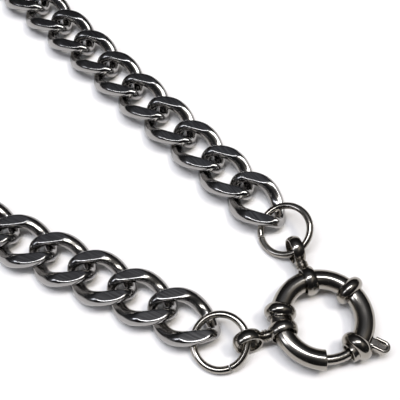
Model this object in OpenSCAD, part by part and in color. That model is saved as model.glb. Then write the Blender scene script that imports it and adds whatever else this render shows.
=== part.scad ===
// Curb chain necklace with a bolt ring clasp, closed and lying on a flat surface.
// Millimetres. The loop's centre line is the X axis, the clasp is at the +X end and
// Z = 0 is the surface. The origin is the middle of the necklace's outer box.

/* [Chain] */
// Number of curb links
link_count = 44; // [40:2:44]
// Distance from one link to the next
pitch = 9.05; // [9:0.01:9.1]
// Length of a link over its ends
link_len = 15.18; // [15.1:0.02:15.24]
// Width of a link over its sides
link_w = 11.5; // [11.4:0.02:11.7]
// Wire diameter at the sides of a link
side_wire_d = 3; // [2.8:0.02:3.02]
// Wire diameter at the ends of a link, worn by its neighbours
end_wire_d = 2.3; // [2.1:0.02:2.32]
// Angle that each end of a link is twisted from its middle
twist_angle = 55; // [53:1:58]
// Most that the rolls let the twisted wire rise above and below the middle of a link
twist_limit = 2.35; // [2.3:0.05:2.5]
// Thickness between the flats ground on the top and the bottom of a link
chain_t = 4.64; // [4.5:0.02:4.8]

/* [Layout] */
// Angle between each straight strand and the centre line of the loop
strand_angle = 10.5; // [10:0.1:11]
// Distance of each strand from the centre line, level with the clasp
strand_gap = 10.44; // [10.4:0.01:10.5]
// Distance from the clasp's centre back to the first link of the left strand
left_start = 24.54; // [24.5:0.01:24.6]
// Distance from the clasp's centre back to the first link of the right strand
right_start = 21.22; // [21.2:0.01:21.25]
// Angle that the first links of the left strand are turned back against their row
left_yaw = 3.8; // [3:0.1:4]
// Distance of the clasp's centre to the left of the centre line
clasp_y = 1.1; // [1.05:0.01:1.15]

/* [Clasp] */
// Radius from the clasp's centre to the middle of its tube
ring_r = 8; // [7.95:0.05:8.05]
// Outer diameter of the tube
tube_d = 3.88; // [3.7:0.02:3.9]
// Bore of the tube
bore_d = 2.06; // [2.04:0.01:2.08]
// Diameter of the bolt that closes the ring
bolt_d = 1.9; // [1.88:0.01:1.92]
// Outer diameter of the collars on the tube
collar_d = 6.2; // [6:0.1:6.3]
// Length of a collar along the tube
collar_len = 2.8; // [2.6:0.1:2.8]
// How far the thumb lug reaches out of the clasp's centre
lug_reach = 13.4; // [13.2:0.1:14]
// Width of the thumb lug
lug_w = 2.5; // [2.2:0.1:2.6]
// Angle that the bolt turns back to open the ring
bolt_travel = 36; // [30:1:36]

/* [Connectors] */
// Distance between the two eyes of a connector
eye_span = 6.85; // [6.8:0.05:6.9]
// Outer diameter of an eye
eye_d = 5.9; // [5.8:0.05:6]
// Bore of an eye
eye_bore_d = 4.7; // [4.65:0.05:4.8]
// Length of an eye along its bore
eye_len = 2.25; // [2.15:0.05:2.35]
// How far the right connector leans over
right_lean = 10; // [0:1:11]

/* [Jump rings] */
// Diameter of a jump ring at the middle of its wire
jump_d = 10.3; // [10.1:0.1:10.4]
// Wire diameter of a jump ring
jump_wire_d = 1.4; // [1.2:0.1:1.5]
// Width of the split where a jump ring was closed
jump_split = 0.25; // [0.1:0.05:0.4]

/* [Hidden] */
$fn = 48;

// Angles about the clasp's centre, counterclockwise from +X
TUBE_START = -20.6;
TUBE_END = 306.4;
BOLT_TIP = 300.4;
BOLT_BACK = 382;
LUG_ANGLE = 8.8;
COLLAR_ANGLES = [-5.7, 81.4, 208.2];
FLANGE_ANGLE = 215.6;
LEFT_EYE_ANGLE = 141.4;
RIGHT_EYE_ANGLE = 234.4;

// Directions of the connectors, from the eye on the tube to the other eye
LEFT_CONNECTOR_DIR = 144.6;
RIGHT_CONNECTOR_DIR = 233.6;

// Jump rings: place about the clasp's centre, tilt, direction that the tilt lifts, split
LEFT_JUMP = [-16.07, 11.7];
LEFT_TILT = 24;
LEFT_LIFT_DIR = 64;
LEFT_SPLIT = 226;
RIGHT_JUMP = [-12.96, -15.08];
RIGHT_TILT = 20;
RIGHT_LIFT_DIR = 86;
RIGHT_SPLIT = 327;

// Clasp details
SOCKET_D = 3;
SOCKET_ANGLE = 5;
FLANGE_D = 5;
FLANGE_T = 0.7;
SLOT_H = 1.4;
SLOT_SIDE_ANGLE = 7.3;
NECK_T = 1.2;
NECK_W = 1.6;
LUG_T = 1.7;
LUG_RIM = 0.5;
LUG_RECESS = 0.45;
LUG_ROOT = 10.3;
CONNECTOR_NECK_D = 1.8;
CONNECTOR_RIDGE_D = 2.5;
CONNECTOR_RIDGE_T = 0.36;
CONNECTOR_RIDGE_STEP = 0.5;
EYE_EDGE_T = 0.25;

// Link mesh: stations along the wire, corners round it, with wide flats above and below
STATIONS = 16;
WIRE_CORNERS = [0, 52, 128, 180, 232, 308];
WIRE_SIDES = len(WIRE_CORNERS);
GRIND_REACH = 0.4;
DIRECTION_STEP = 0.5;

// Distance before the far arc over which the left links turn back into their row
YAW_FADE = 40;

// Sizes worked out from the ones above
end_r = end_wire_d / 2;
side_r = side_wire_d / 2;
half_len = link_len / 2 - end_r;
half_w = link_w / 2 - side_r;
clasp_z = collar_d / 2;

// Route of the chain: a straight strand, an arc round the far end and a straight strand
half_turn = 90 + strand_angle;
arc_angle = 2 * half_turn;
arc_rad = arc_angle * PI / 180;
route_len = (link_count - 1) * pitch;
tan_strand = tan(strand_angle);
straight_x = (route_len * cos(strand_angle) + left_start + right_start - arc_rad * strand_gap)
    / (2 + arc_rad * tan_strand);
loop_r = (strand_gap + straight_x * tan_strand) / cos(strand_angle);
arc_x = straight_x + loop_r * sin(strand_angle);
left_len = (straight_x - left_start) / cos(strand_angle);
arc_len = loop_r * arc_rad;

// Place of the clasp's centre, so that the outer box is centred on the origin
lug_tip_x = lug_reach * cos(LUG_ANGLE);
far_x = -arc_x - loop_r - link_w / 2;
clasp_x = -(far_x + lug_tip_x) / 2;

function strand_y(x) = strand_gap + x * tan_strand;

// Place and heading of the route at distance s from the first link of the left strand
function route(s) =
    s < left_len ? left_route(s) :
    s < left_len + arc_len ? arc_route(s - left_len) :
    right_route(s - left_len - arc_len);

function left_route(s) =
    let (
        x = left_start + s * cos(strand_angle),
        yaw = left_yaw * min(1, (left_len - s) / YAW_FADE)
    )
    [-x, strand_y(x), 180 - strand_angle - yaw];

function arc_route(s) =
    let (a = 90 - strand_angle + s / loop_r * 180 / PI)
    [-arc_x + loop_r * cos(a), loop_r * sin(a), a + 90];

function right_route(s) =
    let (x = straight_x - s * cos(strand_angle))
    [-x, -strand_y(x), strand_angle];

function unit(v) = v / norm(v);

// Centre line of a link: an oval twisted about its length and rolled flatter
function wire_centre(a) =
    let (
        twist = twist_angle * cos(a),
        out = half_w * sin(a),
        rise = -out * sin(twist)
    )
    [half_len * cos(a), out * cos(twist), rise / sqrt(1 + pow(rise / twist_limit, 2))];

function wire_direction(a) =
    unit(wire_centre(a + DIRECTION_STEP) - wire_centre(a - DIRECTION_STEP));

function wire_radius(a) = end_r + (side_r - end_r) * pow(sin(a), 2);

// Puts a corner that nearly reaches the top or bottom of the chain on its ground flat
function ground_flat(p) =
    abs(p.z) > chain_t / 2 - GRIND_REACH ? [p.x, p.y, sign(p.z) * chain_t / 2] : p;

// One corner of the wire's section, number k at station angle a
function wire_corner(a, k) =
    let (
        along = wire_direction(a),
        up = unit([0, 0, 1] - along * along.z),
        side = cross(along, up),
        turn = WIRE_CORNERS[k]
    )
    ground_flat(wire_centre(a) + wire_radius(a) * (cos(turn) * side + sin(turn) * up));

link_points = [
    for (i = [0 : STATIONS - 1])
        for (k = [0 : WIRE_SIDES - 1])
            wire_corner(i * 360 / STATIONS, k)
];

function corner_index(i, k) = (i % STATIONS) * WIRE_SIDES + k % WIRE_SIDES;

link_faces = [
    for (i = [0 : STATIONS - 1])
        for (k = [0 : WIRE_SIDES - 1])
            each [
                [corner_index(i, k), corner_index(i, k + 1), corner_index(i + 1, k + 1)],
                [corner_index(i, k), corner_index(i + 1, k + 1), corner_index(i + 1, k)]
            ]
];

function link_name(i) = str("link_", i < 9 ? "0" : "", i + 1);

LINK_NODES = [for (i = [0 : link_count - 1]) link_name(i)];

// Moves its children from the clasp's centre to their place in the necklace
module at_clasp() {
    translate([clasp_x, clasp_y, 0])
        children();
}

// Curb link number i, counted from the clasp along the left strand
module chain_link(i) {
    place = route(i * pitch);
    color("slategray")
        translate([clasp_x + place.x, place.y, chain_t / 2])
            rotate([0, 0, place.z])
                polyhedron(points = link_points, faces = link_faces, convexity = 4);
}

// Round wire ring with a split, tilted so that one side lies on the surface
module jump_ring(centre, tilt, lift_dir, split_at) {
    split_angle = jump_split / (jump_d / 2) * 180 / PI;
    height = jump_d / 2 * sin(tilt) + jump_wire_d / 2;
    color("lightsteelblue")
        at_clasp()
            translate([centre.x, centre.y, height])
                rotate([0, 0, lift_dir])
                    rotate([0, -tilt, 0])
                        rotate([0, 0, split_at - lift_dir + split_angle / 2])
                            rotate_extrude(angle = 360 - split_angle)
                                translate([jump_d / 2, 0])
                                    circle(d = jump_wire_d);
}

// Half section of an eye: straight bore, crowned outside
module eye_section() {
    crown = (eye_d - eye_bore_d) / 2 - EYE_EDGE_T;
    crown_r = (pow(eye_len / 2, 2) + crown * crown) / (2 * crown);
    intersection() {
        translate([eye_bore_d / 2, -eye_len / 2])
            square([eye_d, eye_len]);
        translate([eye_d / 2 - crown_r, 0])
            circle(crown_r);
    }
}

// Two eyes in line on a short ridged neck
module connector(eye_angle, direction, lean) {
    color("gray")
        at_clasp()
            translate([ring_r * cos(eye_angle), ring_r * sin(eye_angle), clasp_z])
                rotate([0, 0, direction])
                    rotate([lean, 0, 0])
                        connector_shape();
}

module connector_shape() {
    neck_from = eye_bore_d / 2 + EYE_EDGE_T;
    for (x = [0, eye_span])
        translate([x, 0, 0])
            rotate([90, 0, 0])
                rotate_extrude()
                    eye_section();
    translate([neck_from, 0, 0])
        rotate([0, 90, 0])
            cylinder(d = CONNECTOR_NECK_D, h = eye_span - 2 * neck_from);
    for (side = [-1, 1])
        translate([eye_span / 2 + side * CONNECTOR_RIDGE_STEP / 2 - CONNECTOR_RIDGE_T / 2, 0, 0])
            rotate([0, 90, 0])
                cylinder(d = CONNECTOR_RIDGE_D, h = CONNECTOR_RIDGE_T);
}

// Round bar of diameter d bent along the clasp's ring from one angle to another
module ring_bar(d, from, to) {
    rotate([0, 0, from])
        rotate_extrude(angle = to - from)
            translate([ring_r, 0])
                circle(d = d);
}

// Puts its children on the ring at the given angle, their Z along the tube
module on_ring(angle) {
    rotate([0, 0, angle])
        translate([ring_r, 0, 0])
            rotate([-90, 0, 0])
                children();
}

// Bead shaped collar round the tube
module collar() {
    rotate_extrude()
        translate([collar_d / 2 - collar_len / 2, 0])
            circle(d = collar_len);
}

// Bent tube with its collars, open for the bolt and slotted for the lug
module clasp_case() {
    color("dimgray")
        at_clasp()
            translate([0, 0, clasp_z])
                difference() {
                    union() {
                        ring_bar(tube_d, TUBE_START, TUBE_END);
                        for (angle = COLLAR_ANGLES)
                            on_ring(angle)
                                collar();
                        on_ring(FLANGE_ANGLE)
                            cylinder(d = FLANGE_D, h = FLANGE_T, center = true);
                    }
                    ring_bar(bore_d, TUBE_START - 1, TUBE_END + 1);
                    ring_bar(SOCKET_D, TUBE_START - 1, TUBE_START + SOCKET_ANGLE);
                    lug_slot();
                }
}

// Slot in the outer side of the tube, long enough for the bolt's travel
module lug_slot() {
    rotate([0, 0, LUG_ANGLE - SLOT_SIDE_ANGLE])
        rotate_extrude(angle = bolt_travel + 2 * SLOT_SIDE_ANGLE)
            translate([ring_r, -SLOT_H / 2])
                square([tube_d, SLOT_H]);
}

// Bent bolt with the neck and the thumb lug that turn it back
module clasp_bolt() {
    color("silver")
        at_clasp()
            translate([0, 0, clasp_z])
                union() {
                    ring_bar(bolt_d, BOLT_TIP, BOLT_BACK);
                    rotate([0, 0, LUG_ANGLE])
                        thumb_lug();
                }
}

// Flat outline of the lug, smaller by inset
module lug_outline(inset) {
    width = lug_w - 2 * inset;
    tip_x = lug_reach - lug_w / 2;
    translate([LUG_ROOT + inset, -width / 2])
        square([tip_x - LUG_ROOT - inset, width]);
    translate([tip_x, 0])
        circle(d = width);
}

// Neck through the slot and a pad with a raised rim on both faces
module thumb_lug() {
    translate([ring_r, -NECK_W / 2, -NECK_T / 2])
        cube([LUG_ROOT - ring_r + 1, NECK_W, NECK_T]);
    difference() {
        translate([0, 0, -LUG_T / 2])
            linear_extrude(LUG_T)
                lug_outline(0);
        for (side = [-1, 1])
            translate([0, 0, side * (LUG_T - LUG_RECESS)])
                linear_extrude(LUG_T, center = true)
                    lug_outline(LUG_RIM);
    }
}

for (i = [0 : link_count - 1])
    chain_link(i);
jump_ring(LEFT_JUMP, LEFT_TILT, LEFT_LIFT_DIR, LEFT_SPLIT);  // left_jump_ring
jump_ring(RIGHT_JUMP, RIGHT_TILT, RIGHT_LIFT_DIR, RIGHT_SPLIT);  // right_jump_ring
connector(LEFT_EYE_ANGLE, LEFT_CONNECTOR_DIR, 0);  // left_connector
connector(RIGHT_EYE_ANGLE, RIGHT_CONNECTOR_DIR, right_lean);  // right_connector
clasp_case();
clasp_bolt();
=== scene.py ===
"""Looks of a curb chain necklace with a bolt ring clasp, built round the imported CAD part.

Sizes in the classes are millimetres in the part's frame: X along the loop's centre line towards
the clasp, Y towards the left strand, Z up from the surface. Meshes are scaled to metres when
they are made.
"""

import logging
from dataclasses import dataclass, field
from enum import Enum
from math import asin, atan2, copysign, cos, degrees, hypot, pi, radians, sin, sqrt, tan
from typing import Any, Callable, Sequence

import bmesh
import bpy
import numpy as np
from bpy.types import ID, Material, Node, NodeSocket, NodeTree, Object, bpy_prop_collection
from mathutils import Matrix, Vector

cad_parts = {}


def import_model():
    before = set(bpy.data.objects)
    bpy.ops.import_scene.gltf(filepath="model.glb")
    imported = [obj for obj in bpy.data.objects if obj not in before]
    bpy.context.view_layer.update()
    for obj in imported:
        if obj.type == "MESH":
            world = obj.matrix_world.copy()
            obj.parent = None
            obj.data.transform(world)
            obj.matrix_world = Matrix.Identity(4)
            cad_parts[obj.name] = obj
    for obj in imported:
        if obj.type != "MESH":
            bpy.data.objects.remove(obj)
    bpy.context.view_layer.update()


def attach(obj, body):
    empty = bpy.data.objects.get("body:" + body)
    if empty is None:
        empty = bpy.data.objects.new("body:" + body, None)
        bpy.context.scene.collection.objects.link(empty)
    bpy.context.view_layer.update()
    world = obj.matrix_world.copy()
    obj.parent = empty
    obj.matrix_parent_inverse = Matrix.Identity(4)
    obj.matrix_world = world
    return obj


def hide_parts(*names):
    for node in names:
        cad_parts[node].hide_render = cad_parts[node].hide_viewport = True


Pair = tuple[float, float]
Triple = tuple[float, float, float]

LOG = logging.getLogger("necklace")
MM = 0.001
NECKLACE = "necklace"
BOLT = "bolt"
BAR_STEP_DEG = 2.5
READ_NODE = "GeometryNodeInputNamedAttribute"
STORE_NODE = "GeometryNodeStoreNamedAttribute"


def srgb(code: str) -> tuple[float, float, float, float]:
    """Turns an sRGB hex colour into Blender's linear colour.

    Args:
        code: Six hex digits, such as "C8C6C2".

    Returns:
        Linear red, green, blue and an alpha of 1.
    """
    parts = [int(code[i : i + 2], 16) / 255 for i in (0, 2, 4)]
    linear = [c / 12.92 if c <= 0.04045 else ((c + 0.055) / 1.055) ** 2.4 for c in parts]
    return (linear[0], linear[1], linear[2], 1.0)


def add_node(
    tree: NodeTree,
    kind: str,
    sockets: dict[int | str, Any] | None = None,
    **settings: Any,
) -> Node:
    """Adds a node, sets its properties, and sets or links its inputs.

    Args:
        tree: Node tree that gets the node.
        kind: Blender's name of the node type.
        sockets: Input name or number to a value, to an output socket to link from, or to a node
            whose first output is linked.
        settings: Properties of the node.

    Returns:
        The new node.
    """
    node = tree.nodes.new(kind)
    for name, value in settings.items():
        setattr(node, name, value)
    for key, value in (sockets or {}).items():
        source = value.outputs[0] if isinstance(value, Node) else value
        if isinstance(source, NodeSocket):
            tree.links.new(source, node.inputs[key])
        else:
            node.inputs[key].default_value = value
    return node


def math_node(tree: NodeTree, operation: str, *values: Any, kind: str = "ShaderNodeMath") -> Node:
    """Adds a node that works something out of values, given in the order of its inputs."""
    return add_node(tree, kind, dict(enumerate(values)), operation=operation)


def noise(tree: NodeTree, place: NodeSocket, size_mm: float, detail: float = 2.0) -> Node:
    """Adds a cloudy pattern whose grains have a size in millimetres."""
    sockets = {"Vector": place, "Scale": 1 / (size_mm * MM), "Detail": detail}
    return add_node(tree, "ShaderNodeTexNoise", sockets)


def remap(tree: NodeTree, value: Node, span: Pair, to: Pair = (0.0, 1.0)) -> Node:
    """Adds a node that stretches one span of a value to another one."""
    limits = {"From Min": span[0], "From Max": span[1], "To Min": to[0], "To Max": to[1]}
    return add_node(tree, "ShaderNodeMapRange", {"Value": value, **limits})


def bump(tree: NodeTree, height: Node, strength: float, depth_mm: float) -> Node:
    """Adds small dents with a depth in millimetres."""
    sockets = {"Height": height, "Strength": strength, "Distance": depth_mm * MM}
    return add_node(tree, "ShaderNodeBump", sockets)


def new_material(
    name: str, colour: str, values: dict[str, float]
) -> tuple[Material, NodeTree, NodeSocket]:
    """Makes a plain material.

    Args:
        name: Name of the material.
        colour: Colour as sRGB hex.
        values: Input name of the shader to value.

    Returns:
        The material, its node tree, and the place on the object as a socket.
    """
    made = bpy.data.materials.new(name)
    made.use_nodes = True
    tree = made.node_tree
    for label, value in {"Base Color": srgb(colour), **values}.items():
        tree.nodes["Principled BSDF"].inputs[label].default_value = value
    return made, tree, add_node(tree, "ShaderNodeTexCoord").outputs["Object"]


def node_group(
    name: str, inputs: dict[str, str], output: str
) -> tuple[NodeTree, bpy_prop_collection]:
    """Makes a geometry node tree that has no more than its inputs and its output.

    Args:
        name: Name of the tree.
        inputs: Input name to the kind of its socket, such as "Object".
        output: Name of the geometry that comes out.

    Returns:
        The tree, and the sockets that its inputs come in by.
    """
    tree = bpy.data.node_groups.new(name, "GeometryNodeTree")
    for label, kind in inputs.items():
        tree.interface.new_socket(label, in_out="INPUT", socket_type=f"NodeSocket{kind}")
    tree.interface.new_socket(output, in_out="OUTPUT", socket_type="NodeSocketGeometry")
    return tree, add_node(tree, "NodeGroupInput").outputs


def lead_out(tree: NodeTree, shape: Node, steel: NodeSocket, output: str) -> None:
    """Ends a geometry node tree: the shape gets its material and goes to the output."""
    dressed = add_node(tree, "GeometryNodeSetMaterial", {"Geometry": shape, "Material": steel})
    add_node(tree, "NodeGroupOutput", {output: dressed})


def add_object(name: str, data: ID) -> Object:
    """Makes an object and puts it in the scene.

    Args:
        name: Name of the object.
        data: Its mesh, light or camera.

    Returns:
        The new object.
    """
    made = bpy.data.objects.new(name, data)
    bpy.context.scene.collection.objects.link(made)
    return made


class Marks(Enum):
    """How a steel surface was finished by hand or machine."""

    TUMBLED = "tumbled"
    GROUND = "ground"


@dataclass(frozen=True)
class Steel:
    """Stainless steel, polished to a mirror, with the fine marks of its finishing.

    Args:
        name: Material name.
        colour: Reflection colour as sRGB hex.
        roughness: Roughness of the polished surface.
        marks: Whether the piece is only tumbled or also has flats ground on a belt.
        scratch_mm: Distance between tumbling scratches. Real ones are finer than the render
            shows, so these are coarser.
        belt_mm: Distance between the belt's grinding lines on a flat. Real ones are about 0.1 mm
            apart, too fine to show, so these are coarser.
        groove: Colour of the grinding lines as sRGB hex.
        clouded: Least and most roughness of the tumbled surface, over the roughness above.
        ground: Least and most roughness of the flats.
        line_ratio: Distance between the grinding lines over their length.
    """

    name: str
    colour: str
    roughness: float
    marks: Marks = Marks.TUMBLED
    scratch_mm: float = 0.9
    belt_mm: float = 0.3
    groove: str = "6F6E6D"
    clouded: Pair = (0.8, 1.5)
    ground: Pair = (0.12, 0.18)
    line_ratio: float = 0.06

    def material(self) -> Material:
        """Makes the material.

        Returns:
            The material, with its node tree.
        """
        made, tree, place = new_material(self.name, self.colour, {"Metallic": 1.0})
        # Tumbling leaves faint clouds of fine scratches, so reflections are never quite even.
        least, most = (self.roughness * share for share in self.clouded)
        clouds = noise(tree, place, self.scratch_mm * 4, detail=3.0)
        rough = remap(tree, clouds, span=(0.3, 0.75), to=(least, most))
        scratches = noise(tree, place, self.scratch_mm)
        dents = bump(tree, scratches, strength=0.12, depth_mm=0.02)
        if self.marks is Marks.GROUND:
            rough, dents = self._belt_lines(tree, rough, dents)
        inputs = tree.nodes["Principled BSDF"].inputs
        tree.links.new(rough.outputs[0], inputs["Roughness"])
        tree.links.new(dents.outputs[0], inputs["Normal"])
        return made

    def _belt_lines(self, tree: NodeTree, rough: Node, dents: Node) -> tuple[Node, Node]:
        """Adds the belt's grinding lines to the flats, along each link.

        Args:
            tree: Node tree of the material.
            rough: Roughness of the tumbled surface.
            dents: Dents of the tumbled surface.

        Returns:
            Roughness and dents of the whole piece.
        """
        flat = add_node(tree, "ShaderNodeAttribute", attribute_name="ground").outputs["Fac"]
        place = add_node(tree, "ShaderNodeAttribute", attribute_name="link_place").outputs["Vector"]
        scale = (self.line_ratio / self.belt_mm, 1 / self.belt_mm, 1.0)
        run = add_node(tree, "ShaderNodeMapping", {"Vector": place, "Scale": scale})
        lines = add_node(tree, "ShaderNodeTexNoise", {"Vector": run, "Scale": 1.0, "Detail": 3.0})
        cut = math_node(tree, "MULTIPLY", lines, flat)
        grooves = bump(tree, cut, strength=0.2, depth_mm=0.006)
        tree.links.new(dents.outputs[0], grooves.inputs["Normal"])
        streaks = math_node(tree, "MULTIPLY", remap(tree, lines, span=(0.4, 0.68)), flat)
        # Of a mix node, inputs 6 and 7 and output 2 are colours, and inputs 2 and 3 are numbers.
        colours = {0: streaks, 6: srgb(self.colour), 7: srgb(self.groove)}
        tone = add_node(tree, "ShaderNodeMix", colours, data_type="RGBA")
        tree.links.new(tone.outputs[2], tree.nodes["Principled BSDF"].inputs["Base Color"])
        belt_rough = remap(tree, lines, span=(0.0, 1.0), to=self.ground)
        return add_node(tree, "ShaderNodeMix", {0: flat, 2: rough, 3: belt_rough}), grooves


@dataclass(frozen=True)
class Paper:
    """Matt white paper under the necklace: smooth, with a faint tooth.

    Args:
        name: Material name.
        colour: Colour as sRGB hex.
        grain_mm: Size of the paper's tooth.
    """

    name: str = "matt_white_paper"
    colour: str = "F4F3F2"
    grain_mm: float = 0.6

    def material(self) -> Material:
        """Makes the material.

        Returns:
            The material, with its node tree.
        """
        matt = {"Roughness": 0.9, "Specular IOR Level": 0.1}
        made, tree, place = new_material(self.name, self.colour, matt)
        tooth = bump(tree, noise(tree, place, self.grain_mm), strength=0.1, depth_mm=0.02)
        tree.links.new(tooth.outputs[0], tree.nodes["Principled BSDF"].inputs["Normal"])
        return made


@dataclass
class Skin:
    """Points and faces of one mesh, gathered shell by shell, in millimetres."""

    points: list[np.ndarray] = field(default_factory=list)
    faces: list[tuple[int, ...]] = field(default_factory=list)
    count: int = 0

    def add_points(self, points: np.ndarray) -> np.ndarray:
        """Adds points.

        Args:
            points: Array whose last axis is x, y, z.

        Returns:
            The points' numbers, in the shape of the array without its last axis.
        """
        flat = np.asarray(points, float).reshape(-1, 3)
        numbers = np.arange(self.count, self.count + len(flat))
        self.points.append(flat)
        self.count += len(flat)
        return numbers.reshape(np.shape(points)[:-1])

    def add_grid(
        self,
        points: np.ndarray,
        loop_rows: bool = False,
        keep: Callable[[int, int], bool] | None = None,
    ) -> np.ndarray:
        """Adds a grid of points whose columns run round in a loop.

        Args:
            points: Rows by columns by x, y, z.
            loop_rows: Whether the last row joins the first.
            keep: Tells for a row and a column whether the face that starts there is made.

        Returns:
            Rows by columns of point numbers.
        """
        grid = self.add_points(points)
        rows, columns = grid.shape
        for i in range(rows if loop_rows else rows - 1):
            for k in range(columns):
                if keep is None or keep(i, k):
                    down, on = (i + 1) % rows, (k + 1) % columns
                    self.faces.append((grid[i, k], grid[i, on], grid[down, on], grid[down, k]))
        return grid

    def close_end(self, row: np.ndarray) -> None:
        """Closes a loop of points with a fan round their middle.

        Args:
            row: Numbers of the loop's points.
        """
        flat = np.concatenate(self.points)
        pole = int(self.add_points(flat[row].mean(0)[None])[0])
        for k in range(len(row)):
            self.faces.append((row[k], row[(k + 1) % len(row)], pole))

    def add_bar(self, rows: Sequence[Any]) -> None:
        """Adds a shell through loops of points and closes both its ends.

        Args:
            rows: Points of each loop, with the same number in all.
        """
        grid = self.add_grid(np.stack(rows))
        self.close_end(grid[0])
        self.close_end(grid[-1])

    def place(self, matrix: Matrix) -> "Skin":
        """Moves all points by a matrix.

        Args:
            matrix: Rotation and place, in millimetres.

        Returns:
            This skin.
        """
        turn = np.array(matrix.to_3x3())
        shift = np.array(matrix.to_translation())
        self.points = [part @ turn.T + shift for part in self.points]
        return self

    def piece(self, name: str, material: Material, crease_deg: float = 50) -> Object:
        """Makes an object at the origin, smooth shaded, with faces outwards.

        Args:
            name: Name of the piece.
            material: Its finish.
            crease_deg: Edges sharper than this stay crisp.

        Returns:
            The new object, linked to the scene.
        """
        mesh = bpy.data.meshes.new(name)
        flat = np.concatenate(self.points) * MM
        mesh.from_pydata(flat.tolist(), [], [tuple(int(i) for i in f) for f in self.faces])
        tidy = bmesh.new()
        tidy.from_mesh(mesh)
        bmesh.ops.recalc_face_normals(tidy, faces=tidy.faces)
        tidy.to_mesh(mesh)
        tidy.free()
        mesh.polygons.foreach_set("use_smooth", [True] * len(mesh.polygons))
        mesh.set_sharp_from_angle(angle=radians(crease_deg))
        mesh.materials.append(material)
        return add_object(name, mesh)


def lathe(profile: Sequence[Pair], sides: int = 72) -> Skin:
    """Turns a closed profile about the Z axis.

    Args:
        profile: Radius and height of each point, in a closed loop.
        sides: Number of steps round the axis.

    Returns:
        The turned shape's skin.
    """
    turn = np.linspace(0, 2 * pi, sides, endpoint=False)
    radius, height = np.array(profile).T
    steps = (np.cos(turn), np.sin(turn), np.ones(sides))
    points = [np.outer(step, size) for step, size in zip(steps, (radius, radius, height))]
    skin = Skin()
    skin.add_grid(np.stack(points, axis=-1), loop_rows=True)
    return skin


def arc_points(centre: Pair, radius: float, start: float, end: float, steps: int) -> list[Pair]:
    """Gives points on an arc from one angle to another in degrees, one more than its steps."""
    angles = np.radians(np.linspace(start, end, steps + 1))
    return [(centre[0] + radius * cos(a), centre[1] + radius * sin(a)) for a in angles]


def bent_bar(
    bend: float, radius: float, start: float, end: float, edge: float, sides: int
) -> Skin:
    """Builds a round bar bent in a circle about Z, with rounded ends.

    Args:
        bend: Radius of the circle.
        radius: Radius of the bar.
        start: First angle in degrees.
        end: Last angle in degrees.
        edge: Rounding of the bar's ends.
        sides: Number of sides of the bar.

    Returns:
        The bar's skin.
    """
    steps = round((end - start) / BAR_STEP_DEG)
    edge_deg = degrees(edge / bend)
    quarter = np.linspace(0, pi / 2, 5)
    corner = [(edge_deg * (1 - cos(a)), radius - edge * (1 - sin(a))) for a in quarter]
    rows = [(start + gap, rho) for gap, rho in corner]
    rows += [(a, radius) for a in np.linspace(start + edge_deg, end - edge_deg, steps)[1:-1]]
    rows += [(end - gap, rho) for gap, rho in reversed(corner)]
    skin = Skin()
    skin.add_bar([ring_row(bend, a, rho, sides) for a, rho in rows])
    return skin


def ring_row(bend: float, angle: float, radius: float, sides: int | np.ndarray) -> np.ndarray:
    """Gives one section of a bar that is bent in a circle about Z.

    Args:
        bend: Radius of the circle.
        angle: Place of the section in degrees.
        radius: Radius of the section.
        sides: Number of points, or their angles round the bar in degrees from outwards.

    Returns:
        The section's points.
    """
    if isinstance(sides, int):
        sides = np.linspace(0, 360, sides, endpoint=False)
    turn = np.radians(sides)
    out = bend + radius * np.cos(turn)
    a = radians(angle)
    return np.stack([out * cos(a), out * sin(a), radius * np.sin(turn)], axis=-1)


def turned(angle: float, axis: str) -> Matrix:
    """Gives a rotation by degrees about the axis named X, Y or Z."""
    return Matrix.Rotation(radians(angle), 4, axis)


@dataclass
class Layout:
    """Route of the chain and place of the clasp, with the same values as the part's source."""

    link_count: int = 44
    pitch: float = 9.05
    link_w: float = 11.5
    strand_angle: float = 10.5
    strand_gap: float = 10.44
    left_start: float = 24.54
    right_start: float = 21.22
    left_yaw: float = 3.8
    yaw_fade: float = 40.0
    clasp_y: float = 1.1
    lug_tip: float = 13.4
    lug_angle: float = 8.8
    clasp_z: float = 3.1

    def __post_init__(self) -> None:
        """Works out the straight strands, the far arc and the clasp's place."""
        lean = radians(self.strand_angle)
        self.route_len = (self.link_count - 1) * self.pitch
        turn = pi + 2 * lean
        reach = self.route_len * cos(lean) + self.left_start + self.right_start
        self.straight_x = (reach - turn * self.strand_gap) / (2 + turn * tan(lean))
        self.loop_r = (self.strand_gap + self.straight_x * tan(lean)) / cos(lean)
        self.arc_x = self.straight_x + self.loop_r * sin(lean)
        self.left_len = (self.straight_x - self.left_start) / cos(lean)
        self.arc_len = self.loop_r * turn
        far = -self.arc_x - self.loop_r - self.link_w / 2
        self.clasp_x = -(far + self.lug_tip * cos(radians(self.lug_angle))) / 2

    def along(self, s: float) -> Triple:
        """Gives a place on the chain's route.

        Args:
            s: Distance from the first link.

        Returns:
            Its x and y, and its heading in degrees.
        """
        lean = radians(self.strand_angle)
        if s < self.left_len:
            x = self.left_start + s * cos(lean)
            yaw = self.left_yaw * min(1.0, (self.left_len - s) / self.yaw_fade)
            y = self.strand_gap + x * tan(lean)
            return (self.clasp_x - x, y, 180 - self.strand_angle - yaw)
        if s < self.left_len + self.arc_len:
            a = pi / 2 - lean + (s - self.left_len) / self.loop_r
            x = self.clasp_x - self.arc_x + self.loop_r * cos(a)
            return (x, self.loop_r * sin(a), degrees(a) + 90)
        x = self.straight_x - (s - self.left_len - self.arc_len) * cos(lean)
        return (self.clasp_x - x, -self.strand_gap - x * tan(lean), 360 + self.strand_angle)

    def at_clasp(self, x: float, y: float, z: float) -> Matrix:
        """Gives the place of a point about the clasp's centre."""
        return Matrix.Translation((self.clasp_x + x, self.clasp_y + y, z))


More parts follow.
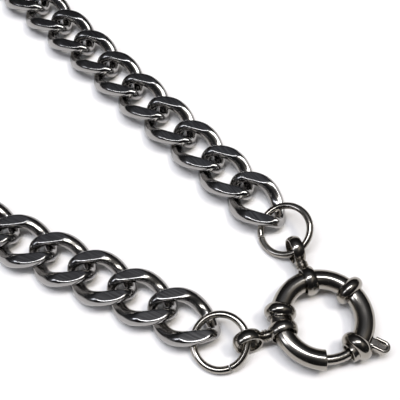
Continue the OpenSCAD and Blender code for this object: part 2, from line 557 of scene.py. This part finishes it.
@dataclass
class CurbChain:
    """Twisted links with flats ground on the top and the underside."""

    layout: Layout
    finish: Steel
    link_len: float = 15.18
    side_wire: float = 3.0
    end_wire: float = 2.3
    twist_deg: float = 55.0
    twist_limit: float = 2.35
    thickness: float = 4.64
    edge: float = 0.05
    widest_deg: float = 82.0
    stations: int = 88
    links_in_piece: int = 22
    pattern_reach: float = 90.0
    seed: int = 7

    def section_angles(self, edge_deg: float) -> np.ndarray:
        """Spreads points over half a wire section, so that some lie on the flat's edges.

        Args:
            edge_deg: Angle at which the wire meets the flat, from its side.

        Returns:
            Angles from one side of the wire over the flat to just before the other side.
        """
        near = np.array([0, 0.3, 0.55, 0.75, 0.88, 0.95, 1]) * edge_deg
        over = edge_deg + (180 - 2 * edge_deg) * np.array([0.05, 0.14, 0.32, 0.5, 0.68, 0.86, 0.95])
        return np.concatenate([near, over, 180 - near[:0:-1]])

    def wire_centre(self, a: float) -> np.ndarray:
        """Gives a point on a link's centre line, an oval twisted about its length.

        Args:
            a: Angle round the oval in radians.

        Returns:
            The point.
        """
        twist = radians(self.twist_deg) * cos(a)
        out = (self.layout.link_w - self.side_wire) / 2 * sin(a)
        rise = -out * sin(twist)
        rise /= sqrt(1 + (rise / self.twist_limit) ** 2)
        return np.array([(self.link_len - self.end_wire) / 2 * cos(a), out * cos(twist), rise])

    def link_skin(self) -> tuple[Skin, np.ndarray]:
        """Builds one link about its own centre, X along the chain.

        Returns:
            The link's skin, and for each of its points how much it is ground.
        """
        top = self.thickness / 2
        near = 0.01
        rows: list[np.ndarray] = []
        ground: list[np.ndarray] = []
        for a in np.linspace(0, 2 * pi, self.stations, endpoint=False):
            centre = self.wire_centre(a)
            along = self.wire_centre(a + near) - self.wire_centre(a - near)
            along /= np.linalg.norm(along)
            up = np.array([0, 0, 1]) - along * along[2]
            up /= np.linalg.norm(up)
            side = np.cross(along, up)
            wire = (self.end_wire + (self.side_wire - self.end_wire) * sin(a) ** 2) / 2
            angles: list[np.ndarray] = []
            for sign in (1, -1):
                reach = (top - sign * centre[2]) / (wire * up[2])
                edge_deg = min(self.widest_deg, degrees(asin(min(1.0, reach))))
                half = self.section_angles(edge_deg)
                angles.append(half if sign > 0 else 180 + half)
            turn = np.radians(np.concatenate(angles))
            points = centre + wire * (np.outer(np.cos(turn), side) + np.outer(np.sin(turn), up))
            over = (np.abs(points[:, 2]) - top) / self.edge
            height = np.abs(points[:, 2]) - self.edge * np.logaddexp(0, over)
            points[:, 2] = np.sign(points[:, 2]) * height
            rows.append(points)
            # The mark of the flat fades out over three widths of its soft edge.
            ground.append(np.clip(over / 3 + 0.2, 0, 1))
        skin = Skin()
        skin.add_grid(np.stack(rows), loop_rows=True)
        return skin, np.concatenate(ground)

    def link_source(self, steel: Material) -> Object:
        """Makes the link that the node tree repeats, with its attributes.

        Args:
            steel: Material of the link.

        Returns:
            The link's object, about its own centre.
        """
        skin, ground = self.link_skin()
        source = skin.piece("link_source", steel, crease_deg=180)
        add_attribute = source.data.attributes.new
        add_attribute("ground", "FLOAT", "POINT").data.foreach_set("value", ground)
        place = np.concatenate(skin.points).ravel()
        add_attribute("link_place", "FLOAT_VECTOR", "POINT").data.foreach_set("vector", place)
        return source

    def route_source(self) -> Object:
        """Makes the chain's route as a line of short edges that know their heading.

        Returns:
            The route's object.
        """
        steps = self.layout.link_count * 10
        spots = [self.layout.along(s) for s in np.linspace(0, self.layout.route_len, steps + 1)]
        mesh = bpy.data.meshes.new("chain_route")
        places = [(x * MM, y * MM, self.thickness / 2 * MM) for x, y, _ in spots]
        mesh.from_pydata(places, [(i, i + 1) for i in range(steps)], [])
        heading = [radians(h) for _, _, h in spots]
        mesh.attributes.new("heading", "FLOAT", "POINT").data.foreach_set("value", heading)
        return add_object("chain_route", mesh)

    def node_tree(self) -> NodeTree:
        """Builds the node tree that lays links along a route.

        Returns:
            The tree, with inputs for the link, the counts, the seed and the material.
        """
        inputs = {
            "Route": "Geometry",
            "Link": "Object",
            "Link Count": "Int",
            "First Link": "Int",
            "Last Link": "Int",
            "Seed": "Int",
            "Steel": "Material",
        }
        tree, given = node_group("chain_of_links", inputs, "Chain")
        line = add_node(tree, "GeometryNodeMeshToCurve", {"Mesh": given["Route"]})
        counted = {"Curve": line, "Count": given["Link Count"]}
        spots = add_node(tree, "GeometryNodeResampleCurve", counted)
        heading = add_node(tree, READ_NODE, {"Name": "heading"})
        turn = add_node(tree, "ShaderNodeCombineXYZ", {"Z": heading})
        number = add_node(tree, "GeometryNodeInputIndex")
        # With whole numbers a compare node takes its inputs 2 and 3.
        late, early = (
            add_node(
                tree,
                "FunctionNodeCompare",
                {2: number, 3: given[limit]},
                data_type="INT",
                operation=test,
            )
            for limit, test in (("First Link", "GREATER_EQUAL"), ("Last Link", "LESS_EQUAL"))
        )
        chosen = math_node(tree, "AND", late, early, kind="FunctionNodeBooleanMath")
        link = add_node(tree, "GeometryNodeObjectInfo", {"Object": given["Link"]})
        shape = link.outputs["Geometry"]
        copies = {"Points": spots, "Selection": chosen, "Instance": shape, "Rotation": turn}
        laid = add_node(tree, "GeometryNodeInstanceOnPoints", copies)
        # Each link gets its own stretch of the grinding pattern.
        span = {"Min": (0.0,) * 3, "Max": (self.pattern_reach,) * 3, "Seed": given["Seed"]}
        offset = add_node(tree, "FunctionNodeRandomValue", span, data_type="FLOAT_VECTOR")
        marked = self._keep(tree, laid, "link_offset", offset, "INSTANCE")
        real = add_node(tree, "GeometryNodeRealizeInstances", {"Geometry": marked})
        own, shift = (
            add_node(tree, READ_NODE, {"Name": name}, data_type="FLOAT_VECTOR")
            for name in ("link_place", "link_offset")
        )
        moved = math_node(tree, "ADD", own, shift, kind="ShaderNodeVectorMath")
        stored = self._keep(tree, real, "link_place", moved, "POINT")
        lead_out(tree, stored, given["Steel"], "Chain")
        return tree

    @staticmethod
    def _keep(tree: NodeTree, shape: Node, name: str, value: Node, domain: str) -> Node:
        """Adds a node that keeps a vector under a name on each point or instance."""
        sockets = {"Geometry": shape, "Name": name, "Value": value}
        return add_node(tree, STORE_NODE, sockets, data_type="FLOAT_VECTOR", domain=domain)

    def build(self) -> None:
        """Lays the links along the route, in pieces that together make the chain."""
        steel = self.finish.material()
        source = self.link_source(steel)
        tree = self.node_tree()
        for name, first in (("left_chain", 0), ("right_chain", self.links_in_piece)):
            last = first + self.links_in_piece - 1
            values = {
                "Link": source,
                "Link Count": self.layout.link_count,
                "First Link": first,
                "Last Link": last,
                "Seed": self.seed,
                "Steel": steel,
            }
            piece = bake_nodes(self.route_source(), tree, values, name, steel)
            nodes = [f"link_{i + 1:02d}" for i in range(first, last + 1)]
            settle(piece, NECKLACE, "chain_steel", *nodes)
        bpy.data.objects.remove(source)


def bake_nodes(
    carrier: Object,
    tree: NodeTree,
    values: dict[str, Any],
    name: str,
    steel: Material,
) -> Object:
    """Runs a node tree on an object and keeps its result as a plain mesh.

    Args:
        carrier: Object that the tree starts from. It is removed.
        tree: Geometry node tree.
        values: Input name to value.
        name: Name of the new piece.
        steel: Its only material.

    Returns:
        The new piece at the origin.
    """
    modifier = carrier.modifiers.new(tree.name, "NODES")
    modifier.node_group = tree
    for item in tree.interface.items_tree:
        if item.in_out == "INPUT" and item.name in values:
            modifier[item.identifier] = values[item.name]
    bpy.context.view_layer.update()
    graph = bpy.context.evaluated_depsgraph_get()
    mesh = bpy.data.meshes.new_from_object(
        carrier.evaluated_get(graph), preserve_all_data_layers=True, depsgraph=graph
    )
    carrier.modifiers.remove(modifier)
    bpy.data.objects.remove(carrier)
    mesh.name = name
    mesh.materials.clear()
    mesh.materials.append(steel)
    return add_object(name, mesh)


def settle(piece: Object, body: str, slot: str, *nodes: str) -> None:
    """Ties a piece to its body, in place of its CAD nodes, and reports it.

    Args:
        piece: Finished piece.
        body: CAD body that it moves with.
        slot: The record's material slot. It is not used.
        nodes: CAD nodes that it stands for.
    """
    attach(piece, body)
    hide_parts(*nodes)
    LOG.info("%s: %d faces on %s", piece.name, len(piece.data.polygons), body)


@dataclass
class JumpRing:
    """Round wire ring with a split where it was closed."""

    layout: Layout
    finish: Steel
    name: str
    centre: Pair
    tilt: float
    lift_dir: float
    split_at: float
    ring_r: float = 5.15
    wire_r: float = 0.7
    split: float = 0.25
    edge: float = 0.12
    sides: int = 28

    def build(self) -> None:
        """Builds the ring, tilted so that one side lies on the surface."""
        gap = degrees(self.split / self.ring_r)
        start = self.split_at - self.lift_dir + gap / 2
        end = start + 360 - gap
        skin = bent_bar(self.ring_r, self.wire_r, start, end, self.edge, self.sides)
        height = self.ring_r * sin(radians(self.tilt)) + self.wire_r
        lifted = turned(self.lift_dir, "Z") @ turned(-self.tilt, "Y")
        skin.place(self.layout.at_clasp(*self.centre, height) @ lifted)
        piece = skin.piece(self.name, self.finish.material())
        settle(piece, NECKLACE, "ring_steel", self.name)


@dataclass
class Connector:
    """Two eyes in line on a short ridged neck."""

    layout: Layout
    finish: Steel
    name: str
    eye_angle: float
    direction: float
    lean: float
    ring_r: float = 8.0
    span: float = 6.85
    eye_r: float = 2.95
    bore_r: float = 2.35
    eye_len: float = 2.25
    rim: float = 0.25
    neck_r: float = 0.9
    ridge_r: float = 1.25
    ridge_t: float = 0.36
    ridge_step: float = 0.5
    ridge_count: int = 2
    soft: float = 0.05
    neck_sides: int = 32
    neck_rows: int = 13
    waist: float = 0.25

    def eye_profile(self) -> list[Pair]:
        """Gives the eye's section: straight bore, thin rims and a crowned outside.

        Returns:
            Radius and height of each point.
        """
        crown = self.eye_r - self.bore_r - self.rim
        half = self.eye_len / 2
        crown_r = (half * half + crown * crown) / (2 * crown)
        reach = degrees(asin(half / crown_r)) * 0.99
        outside = arc_points((self.eye_r - crown_r, 0), crown_r, -reach, reach, steps=20)
        mouth = [
            (self.bore_r + self.rim - 2 * self.soft, half),
            (self.bore_r + self.soft, half),
            (self.bore_r + self.soft * 0.3, half - self.soft * 0.3),
            (self.bore_r, half - self.soft),
        ]
        return outside + mouth + [(r, -z) for r, z in reversed(mouth)]

    def ridge_tree(self) -> NodeTree:
        """Builds the node tree that repeats a ridge along the neck and adds it to the eyes.

        Returns:
            The tree, with inputs for the ridge, the count, the step and the steel.
        """
        inputs = {
            "Eyes": "Geometry",
            "Ridge": "Object",
            "Count": "Int",
            "First": "Vector",
            "Step": "Vector",
            "Steel": "Material",
        }
        tree, given = node_group("neck_ridges", inputs, "Connector")
        line = {"Count": given["Count"], "Start Location": given["First"], "Offset": given["Step"]}
        row = add_node(tree, "GeometryNodeMeshLine", line)
        ridge = add_node(tree, "GeometryNodeObjectInfo", {"Object": given["Ridge"]})
        repeated = {"Points": row, "Instance": ridge.outputs["Geometry"]}
        ridges = add_node(tree, "GeometryNodeInstanceOnPoints", repeated)
        joined = add_node(tree, "GeometryNodeJoinGeometry", {0: ridges})
        tree.links.new(given["Eyes"], joined.inputs[0])
        real = add_node(tree, "GeometryNodeRealizeInstances", {"Geometry": joined})
        lead_out(tree, real, given["Steel"], "Connector")
        return tree

    def eyes(self) -> Skin:
        """Builds both eyes, the first one about the origin.

        Returns:
            Their skin.
        """
        both = Skin()
        for x in (0.0, self.span):
            turn = Matrix.Translation((x, 0, 0)) @ turned(90, "X")
            eye = lathe(self.eye_profile()).place(turn)
            both.faces += [tuple(i + both.count for i in f) for f in eye.faces]
            both.add_points(np.concatenate(eye.points))
        return both

    def neck(self) -> Skin:
        """Builds the waisted neck between the eyes.

        Returns:
            Its skin.
        """
        inner = self.bore_r + self.rim
        length = self.span - 2 * inner
        turn = np.linspace(0, 2 * pi, self.neck_sides, endpoint=False)
        rows = []
        for t in np.linspace(0, 1, self.neck_rows):
            r = self.neck_r * (1 + self.waist - self.waist * sin(t * pi))
            x = np.full(self.neck_sides, inner + length * t)
            rows.append(np.stack([x, r * np.cos(turn), r * np.sin(turn)], axis=-1))
        skin = Skin()
        skin.add_bar(rows)
        return skin

    def ridge(self) -> Skin:
        """Builds one ridge of the neck about the origin.

        Returns:
            Its skin.
        """
        half = self.ridge_t / 2
        inside = 0.4
        profile = arc_points((self.ridge_r - half, 0), half, -90, 90, steps=8)
        disc = lathe(profile + [(inside, half), (inside, -half)], sides=40)
        return disc.place(turned(90, "Y"))

    def build(self) -> None:
        """Builds the connector on the clasp's tube."""
        steel = self.finish.material()
        body = self.eyes().piece(self.name + "_eyes", steel)
        neck = self.neck().piece("neck", steel)
        ridge = self.ridge().piece("ridge_source", steel)
        join_into(body, neck)
        first = self.span / 2 - self.ridge_step * (self.ridge_count - 1) / 2
        values = {
            "Ridge": ridge,
            "Count": self.ridge_count,
            "First": (first * MM, 0.0, 0.0),
            "Step": (self.ridge_step * MM, 0.0, 0.0),
            "Steel": steel,
        }
        piece = bake_nodes(body, self.ridge_tree(), values, self.name, steel)
        bpy.data.objects.remove(ridge)
        angle = radians(self.eye_angle)
        x, y = self.ring_r * cos(angle), self.ring_r * sin(angle)
        place = self.layout.at_clasp(x, y, self.layout.clasp_z)
        matrix = place @ turned(self.direction, "Z") @ turned(self.lean, "X")
        matrix.translation *= MM
        piece.data.transform(matrix)
        settle(piece, NECKLACE, "connector_steel", self.name)


def join_into(target: Object, *others: Object) -> None:
    """Adds the meshes of other objects to one object, and removes the others.

    Args:
        target: Object that keeps its name.
        others: Objects whose meshes go into it.
    """
    with bpy.context.temp_override(
        active_object=target, selected_editable_objects=[target, *others]
    ):
        bpy.ops.object.join()


@dataclass
class ClaspCase:
    """Bent tube with three bead collars and a flange, open for the bolt and slotted for the lug."""

    layout: Layout
    finish: Steel
    ring_r: float = 8.0
    tube_r: float = 1.94
    bore_r: float = 1.03
    start: float = -20.6
    end: float = 306.4
    collar_angles: tuple[float, ...] = (-5.7, 81.4, 208.2)
    collar_r: float = 3.1
    bead_r: float = 1.4
    flange_angle: float = 215.6
    flange_r: float = 2.5
    flange_t: float = 0.7
    socket_r: float = 1.5
    socket_deg: float = 5.0
    slot_from: float = 1.5
    slot_to: float = 52.1
    slot_half: float = 0.7
    edge: float = 0.1
    soft: float = 0.12
    slot_steps: int = 8
    side_steps: int = 56
    tube_steps: int = 140
    bead_steps: int = 28

    def side_angles(self, radius: float) -> np.ndarray:
        """Spreads points round the tube, with two of them on the slot's edges.

        Args:
            radius: Radius of the outside or of the bore.

        Returns:
            Angles in degrees: first those over the slot, then the rest of the way round.
        """
        half = degrees(asin(self.slot_half / radius))
        over = np.linspace(-half, half, self.slot_steps + 1)
        rest = np.linspace(half, 360 - half, self.side_steps + 1)[1:-1]
        return np.concatenate([over, rest])

    def tube(self) -> Skin:
        """Builds the tube: outside, rounded end faces, bore and the slot's walls.

        Returns:
            Its skin.
        """
        edge_deg = degrees(self.edge / self.ring_r)
        marks = {self.slot_from, self.slot_to}
        clear = 0.8
        spread = np.linspace(self.start + edge_deg, self.end - edge_deg, self.tube_steps)
        spots = sorted(marks | {float(a) for a in spread if min(abs(a - m) for m in marks) > clear})
        corner = [(1 - sin(t), 1 - cos(t)) for t in np.linspace(0, pi / 2, 4)]
        rows = [(a, self.tube_r) for a in spots]
        rows += [(self.end - edge_deg * c, self.tube_r - self.edge * s) for c, s in corner[1:]]
        rows += [(self.end, self.bore_r + self.edge), (self.end - edge_deg, self.bore_r)]
        socket = self.start + self.socket_deg
        rows += [(a, self.bore_r) for a in reversed(spots[1:-1]) if a > socket + 1]
        rows += [
            (socket, self.bore_r),
            (socket, self.socket_r),
            (self.start + edge_deg, self.socket_r),
            (self.start, self.socket_r + self.edge),
            (self.start, self.tube_r - self.edge),
            (self.start + edge_deg * 0.3, self.tube_r - self.edge * 0.3),
        ]
        outer = self.side_angles(self.tube_r)
        bore = self.side_angles(self.bore_r)
        wall = self.tube_r - self.bore_r
        points = []
        for a, rho in rows:
            depth = np.clip((self.tube_r - rho) / wall, 0, 1)
            points.append(ring_row(self.ring_r, a, rho, outer + (bore - outer) * depth))

        def keep(i: int, k: int) -> bool:
            """Tells whether a face lies outside the slot."""
            cut = self._in_slot(rows[i][0]) and self._in_slot(rows[(i + 1) % len(rows)][0])
            return not (cut and k < self.slot_steps)

        skin = Skin()
        grid = skin.add_grid(np.stack(points), loop_rows=True, keep=keep)
        outside = [i for i, (a, rho) in enumerate(rows) if rho == self.tube_r and self._in_slot(a)]
        inside = [
            next(i for i, (a, rho) in enumerate(rows) if rho == self.bore_r and a == rows[o][0])
            for o in outside
        ]
        for (o, b), (o2, b2) in zip(zip(outside, inside), zip(outside[1:], inside[1:])):
            for k in (0, self.slot_steps):
                skin.faces.append((grid[o, k], grid[o2, k], grid[b2, k], grid[b, k]))
        for o, b in ((outside[0], inside[0]), (outside[-1], inside[-1])):
            for k in range(self.slot_steps):
                skin.faces.append((grid[o, k], grid[o, k + 1], grid[b, k + 1], grid[b, k]))
        return skin

    def _in_slot(self, angle: float) -> bool:
        """Tells whether an angle lies in the slot's stretch."""
        hair = 1e-6
        return self.slot_from - hair <= angle <= self.slot_to + hair

    def collar(self, angle: float) -> Skin:
        """Builds a bead shaped collar.

        Args:
            angle: Its place on the ring in degrees.

        Returns:
            Its skin.
        """
        seat = self.collar_r - self.bead_r
        bead = arc_points((seat, 0), self.bead_r, -90, 90, self.bead_steps)
        return self._on_ring(lathe(bead), angle)

    def flange(self) -> Skin:
        """Builds the narrow flange beside the third collar.

        Returns:
            Its skin.
        """
        half = self.flange_t / 2
        rim = self.flange_r - self.soft
        inside = self.tube_r - 0.3
        profile = arc_points((rim, -half + self.soft), self.soft, -90, 0, steps=4)
        profile += arc_points((rim, half - self.soft), self.soft, 0, 90, steps=4)
        disc = lathe(profile + [(inside, half), (inside, -half)])
        return self._on_ring(disc, self.flange_angle)

    def _on_ring(self, skin: Skin, angle: float) -> Skin:
        """Puts a turned piece on the ring, its axis along the tube."""
        out = Matrix.Translation((self.ring_r, 0, 0))
        return skin.place(turned(angle, "Z") @ out @ turned(-90, "X"))

    def build(self) -> None:
        """Builds the case."""
        steel = self.finish.material()
        place = self.layout.at_clasp(0, 0, self.layout.clasp_z)
        piece = self.tube().place(place).piece("bolt_ring_case", steel, crease_deg=40)
        parts = [self.collar(a) for a in self.collar_angles] + [self.flange()]
        join_into(piece, *(p.place(place).piece(f"turned_{i}", steel) for i, p in enumerate(parts)))
        settle(piece, NECKLACE, "clasp_steel", "clasp_case")


@dataclass
class ThumbBolt:
    """Bent bolt with the thumb lug that turns it back."""

    layout: Layout
    finish: Steel
    ring_r: float = 8.0
    bolt_r: float = 0.95
    tip: float = 300.4
    back: float = 382.0
    lug_angle: float = 8.8
    lug_root: float = 10.3
    lug_tip: float = 13.4
    lug_w: float = 2.5
    lug_t: float = 1.7
    rim_half: float = 0.38
    rim_soft: float = 0.36
    plate_t: float = 0.8
    neck_w: float = 1.6
    neck_t: float = 1.2
    neck_in: float = 0.2
    neck_lap: float = 0.9
    edge_rows: int = 9

    def rim(self, skin: Skin) -> None:
        """Adds the raised rim, bent like a U and open towards the ring.

        Args:
            skin: Skin that gets the shell.
        """
        bend = self.lug_w / 2 - self.rim_half
        centre = self.lug_tip - self.lug_w / 2
        path = [(x, bend, 0.0) for x in np.linspace(self.lug_root, centre, 8)[:-1]]
        path += [(centre + bend * sin(a), bend * cos(a), a) for a in np.linspace(0, pi, 25)]
        path += [(x, -bend, pi) for x in np.linspace(centre, self.lug_root, 8)[1:]]
        flat = self.lug_t / 2 - self.rim_soft
        wide = self.rim_half - self.rim_soft
        section = [
            (sx * wide + self.rim_soft * cos(t), sz * flat + self.rim_soft * sin(t))
            for sx, sz, low in ((1, 1, 0), (-1, 1, 90), (-1, -1, 180), (1, -1, 270))
            for t in np.radians(np.linspace(low, low + 90, 8))
        ]
        skin.add_bar(
            [[(x + w * sin(a), y + w * cos(a), z) for w, z in section] for x, y, a in path]
        )

    def slab(self, skin: Skin, outline: np.ndarray, thickness: float, soft: float) -> None:
        """Adds a flat slab with rounded edges.

        Args:
            skin: Skin that gets the shell.
            outline: Points of its outline.
            thickness: Its thickness, about z = 0.
            soft: Rounding of its edges.
        """
        middle = outline.mean(0)
        span = np.abs(outline - middle).max(0)
        rows = []
        for t in np.radians(np.linspace(-90, 90, self.edge_rows)):
            inset = soft * (1 - cos(t))
            z = copysign(thickness / 2 - soft, sin(t)) + soft * sin(t)
            flat = middle + (outline - middle) * (span - inset) / span
            rows.append(np.c_[flat, np.full(len(flat), z)])
        # A narrow flat border keeps the faces' shading flat inside the rounded edge.
        for n in (0, -1):
            inner = rows[n].copy()
            inner[:, :2] = middle + (inner[:, :2] - middle) * (span - 2 * soft) / (span - soft)
            rows.insert(0 if n == 0 else len(rows), inner)
        skin.add_bar(rows)

    def build(self) -> None:
        """Builds the bolt and its lug."""
        steel = self.finish.material()
        place = self.layout.at_clasp(0, 0, self.layout.clasp_z)
        bar = bent_bar(self.ring_r, self.bolt_r, self.tip, self.back, edge=0.3, sides=40)
        lug = Skin()
        self.rim(lug)
        half = self.lug_w / 2 - self.rim_half
        centre = self.lug_tip - self.lug_w / 2
        tip = [(centre + x, y) for x, y in arc_points((0, 0), half, -90, 90, steps=20)]
        plate = np.array([(self.lug_root, -half), *tip, (self.lug_root, half)])
        self.slab(lug, plate, self.plate_t, soft=0.05)
        near, far = self.ring_r + self.neck_in, self.lug_root + self.neck_lap
        wide = self.neck_w / 2
        neck = np.array([(near, -wide), (far, -wide), (far, wide), (near, wide)])
        self.slab(lug, neck, self.neck_t, soft=0.15)
        lug.place(turned(self.lug_angle, "Z"))
        piece = bar.place(place).piece("thumb_bolt", steel)
        join_into(piece, lug.place(place).piece("lug", steel))
        settle(piece, BOLT, "bolt_steel", "clasp_bolt")


LEFT_STRAND = ("left_chain", "left_jump_ring")
RIGHT_STRAND = ("right_chain", "right_jump_ring")
PAPER = ("paper",)


@dataclass(frozen=True)
class SoftLight:
    """One soft light over the necklace: a lit panel in front of a wider, fading glow.

    Args:
        name: Name of the light.
        right: Degrees from overhead to the camera's right.
        away: Degrees from overhead, away from the camera.
        turn: Direction of its long side, in degrees from right towards away.
        panel: Length and width of the panel, in degrees as the necklace sees it.
        panel_radiance: Brightness of the panel, or 0 for a glow alone.
        glow: Length and width of the glow, in degrees, at which it has faded to a third.
        glow_radiance: Brightness in the middle of the glow.
        colour: Colour as sRGB hex.
        only: The pieces that it falls on, past the baffles round it, or none for all.
    """

    name: str
    right: float
    away: float
    turn: float
    panel: Pair
    panel_radiance: float
    glow: Pair
    glow_radiance: float
    colour: str = "FFFFFF"
    only: tuple[str, ...] = ()

    def axes(self, heading: float) -> Matrix:
        """Gives the light's directions as the columns of a matrix.

        Args:
            heading: The camera's heading in degrees.

        Returns:
            Along its long side, along its short side, and from the necklace to it.
        """
        way = radians(hypot(self.right, self.away))
        side = atan2(self.away, self.right)
        turn = radians(self.turn) - side
        tilt = Matrix.Rotation(way, 3, "Y") @ Matrix.Rotation(turn, 3, "Z")
        return Matrix.Rotation(radians(heading - 90) + side, 3, "Z") @ tilt


@dataclass
class Studio:
    """Paper floor, soft lights and the camera at the photograph's angle.

    The camera's place is given from the clasp's centre on the surface.
    """

    layout: Layout
    heading: float = 127.44
    down: float = 60.33
    roll: float = -0.77
    eye: Triple = (9.71, -50.22, 129.31)
    lens: float = 63.0
    distance: float = 0.7
    aim: Triple = (75.0, 4.0, 0.0)
    paper_m: float = 3.0
    paper_gap: float = 0.02
    walls: Triple = (0.018, 0.018, 0.019)
    # Name, right, away, turn, panel, its brightness, glow, its brightness, colour, only.
    lights: tuple[SoftLight, ...] = (
        SoftLight("overhead", -8, 0, 17, (46, 10), 12, (26, 11), 0.42, "F8F9FF"),
        SoftLight("left", -50, -18, 20, (26, 8), 4.5, (22, 10), 0.3, "EEF2FF"),
        SoftLight("front", 22, -22, 64, (40, 14), 8, (0, 0), 0, "FFFCF6", RIGHT_STRAND),
        SoftLight("low_front", 22, -12, 64, (0, 0), 0, (18, 9), 0.5, "FFF8EE"),
        SoftLight("side", 46, 10, 28, (58, 16), 8, (0, 0), 0, "FFFFFF", LEFT_STRAND),
        SoftLight("right", 38, 2, 0, (0, 0), 0, (20, 9), 0.16, "FFF6E8"),
        SoftLight("room", -6, 3, 0, (0, 0), 0, (38, 26), 0.15, "F2F4FF"),
        SoftLight("back_wall", 0, 31, 0, (0, 0), 0, (24, 11), 0.11, "E4EEFF"),
        SoftLight("window", 27, 3, 0, (10, 14), 27, (0, 0), 0, "FFF8EE", PAPER),
        SoftLight("ceiling", -6, 12, 0, (50, 40), 1.4, (0, 0), 0, "F6F8FF", PAPER),
    )

    def camera(self) -> None:
        """Adds the camera."""
        head = radians(self.heading)
        down = radians(self.down)
        look = Vector((cos(head) * cos(down), sin(head) * cos(down), -sin(down)))
        right = look.cross(Vector((0, 0, 1))).normalized()
        up = right.cross(look)
        roll = radians(self.roll)
        right, up = (right * cos(roll) + up * sin(roll), up * cos(roll) - right * sin(roll))
        data = bpy.data.cameras.new("camera")
        data.lens = self.lens
        data.sensor_width = 36
        data.clip_start = 0.005
        camera = add_object("camera", data)
        turn = Matrix((right, up, -look)).transposed()
        place = self.layout.at_clasp(*self.eye).to_translation()
        camera.matrix_world = Matrix.Translation(place * MM) @ turn.to_4x4()
        bpy.context.scene.camera = camera

    def floor(self) -> None:
        """Adds the paper that the necklace lies on."""
        mesh = bpy.data.meshes.new("paper")
        half = self.paper_m / 2
        corners = [(-half, -half), (half, -half), (half, half), (-half, half)]
        mesh.from_pydata([(x, y, -self.paper_gap * MM) for x, y in corners], [], [(0, 1, 2, 3)])
        mesh.materials.append(Paper().material())
        floor = add_object("paper", mesh)

    def panel(self, light: SoftLight) -> None:
        """Adds a light's panel.

        Args:
            light: The light.
        """
        axes = light.axes(self.heading)
        size = [2 * self.distance * tan(radians(a / 2)) for a in light.panel]
        data = bpy.data.lights.new(light.name, "AREA")
        data.shape = "RECTANGLE"
        data.size, data.size_y = size
        data.energy = light.panel_radiance * pi * size[0] * size[1]
        data.color = srgb(light.colour)[:3]
        lamp = add_object(light.name, data)
        place = Vector(self.aim) * MM + axes.col[2] * self.distance
        lamp.matrix_world = Matrix.Translation(place) @ axes.to_4x4()

    def set_baffles(self) -> None:
        """Keeps each light that has its own pieces off all the others."""
        for light in self.lights:
            if light.only:
                lit = bpy.data.collections.new(f"lit_by_{light.name}")
                for name in light.only:
                    lit.objects.link(bpy.data.objects[name])
                bpy.data.objects[light.name].light_linking.receiver_collection = lit

    def room(self) -> None:
        """Adds the dark room with the lights' glows in it."""
        world = bpy.data.worlds.new("dark_room")
        world.use_nodes = True
        tree = world.node_tree
        way = add_node(tree, "ShaderNodeTexCoord").outputs["Generated"]
        total: Node | tuple[float, ...] = self.walls
        vector = "ShaderNodeVectorMath"
        for light in (lit for lit in self.lights if lit.glow_radiance):
            axes = light.axes(self.heading)
            spread: Node | float = 0.0
            for axis, width in zip(axes.col, light.glow):
                scaled = tuple(axis / sin(radians(width)))
                off = math_node(tree, "DOT_PRODUCT", way, scaled, kind=vector).outputs["Value"]
                spread = math_node(tree, "ADD", math_node(tree, "MULTIPLY", off, off), spread)
            fall = math_node(tree, "EXPONENT", math_node(tree, "MULTIPLY", spread, -1.0))
            colour = tuple(c * light.glow_radiance for c in srgb(light.colour)[:3])
            glow = add_node(tree, vector, {0: colour, "Scale": fall}, operation="SCALE")
            total = math_node(tree, "ADD", glow, total, kind=vector)
        tree.links.new(total.outputs[0], tree.nodes["Background"].inputs["Color"])
        bpy.context.scene.world = world

    def build(self) -> None:
        """Sets up the camera, the floor and the lights."""
        self.camera()
        self.floor()
        for light in self.lights:
            if light.panel_radiance:
                self.panel(light)
        self.room()
        bpy.context.scene.view_settings.view_transform = "Standard"


def main() -> None:
    """Builds the necklace and its studio in order."""
    logging.basicConfig(level=logging.INFO, format="%(name)s: %(message)s", force=True)
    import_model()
    layout = Layout()
    wire = Steel("polished_stainless_wire", "A29D95", roughness=0.15)
    case = Steel("mirror_polished_stainless", "9C978F", roughness=0.14)
    chain = Steel("ground_stainless_curb", "9D9B99", roughness=0.14, marks=Marks.GROUND)
    studio = Studio(layout)
    studio.build()
    CurbChain(layout, chain).build()
    JumpRing(
        layout, wire, "left_jump_ring", (-16.07, 11.7), tilt=24, lift_dir=64, split_at=226
    ).build()
    JumpRing(
        layout, wire, "right_jump_ring", (-12.96, -15.08), tilt=20, lift_dir=86, split_at=327
    ).build()
    Connector(layout, case, "left_connector", eye_angle=141.4, direction=144.6, lean=0).build()
    Connector(layout, case, "right_connector", eye_angle=234.4, direction=233.6, lean=10).build()
    ClaspCase(layout, case).build()
    ThumbBolt(layout, wire).build()
    studio.set_baffles()


if __name__ == "__main__":
    main()
